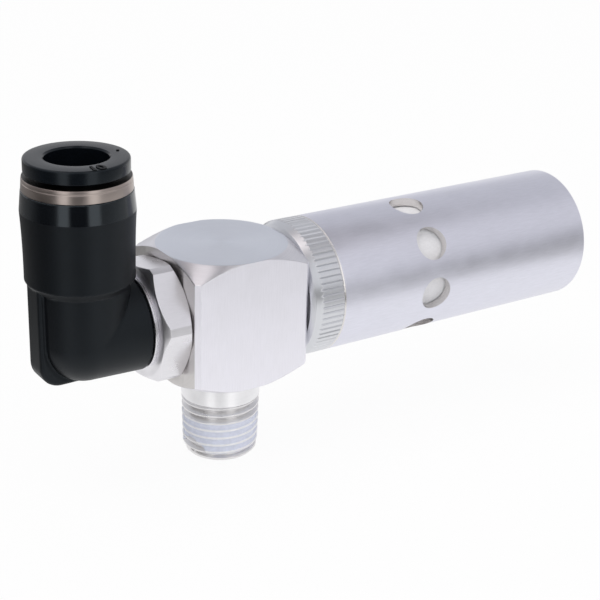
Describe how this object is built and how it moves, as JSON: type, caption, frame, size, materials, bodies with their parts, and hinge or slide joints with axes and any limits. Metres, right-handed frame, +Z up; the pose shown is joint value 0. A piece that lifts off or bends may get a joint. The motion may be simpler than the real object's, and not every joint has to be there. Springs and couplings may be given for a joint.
{
  "type": "vacuum ejector",
  "caption": "Inline vacuum ejector with a swivelling push-in elbow, a square block with a taper-threaded vacuum stud and a long drilled silencer tube.",
  "frame": {"origin": "on the vacuum stud's axis, at the shoulder where the thread meets the round collar", "axes": "+Z up along the vacuum stud's axis into the block, +X along the silencer tube away from the elbow"},
  "size_m": [0.1088, 0.0242, 0.0575],
  "materials": {
    "block_aluminium": "matt, brushed along the flats and turned on both ends",
    "nickel_plated_brass": "bright turned nickel plating over brass",
    "silencer_aluminium": "satin turned aluminium",
    "knurled_aluminium": "bright turned and knurled aluminium",
    "diffuser_aluminium": "turned aluminium",
    "nozzle_brass": "turned brass",
    "elbow_resin": "black moulded resin, matt with a polished lead band",
    "release_resin": "dark moulded resin, smooth",
    "inner_resin": "black moulded resin",
    "seal_rubber": "soft black rubber",
    "spring_steel": "bright stainless spring steel",
    "porous_sleeve": "white porous fibre sleeve"
  },
  "bodies": {
    "ejector": {"body": "block_aluminium", "elbow_stud": "nickel_plated_brass", "stud_seal": "seal_rubber", "nozzle": "nozzle_brass", "nozzle_o_ring": "seal_rubber", "diffuser": "diffuser_aluminium", "diffuser_o_ring": "seal_rubber", "knurled_ring": "knurled_aluminium", "silencer_element": "porous_sleeve", "silencer_cover": "silencer_aluminium", "swivel_o_ring": "seal_rubber"},
    "elbow": {"elbow_body": "elbow_resin", "swivel_clip": "spring_steel", "elastic_sleeve": "seal_rubber", "claw_collar": "inner_resin", "lock_claw": "spring_steel", "guide_ring": "nickel_plated_brass"},
    "release": {"release_ring": "release_resin"}
  },
  "joints": [
    {"name": "elbow_swivel", "type": "hinge", "parent": "ejector", "child": "elbow", "pos_m": [-0.01735, 0, 0.0169], "axis": [1, 0, 0], "continuous": true},
    {"name": "release_ring_push", "type": "slide", "parent": "elbow", "child": "release", "axis": [0, 0, -1], "range_m": [0, 0.0007], "stiffness_N_per_m": 1000, "springref_m": -0.001}
  ]
}
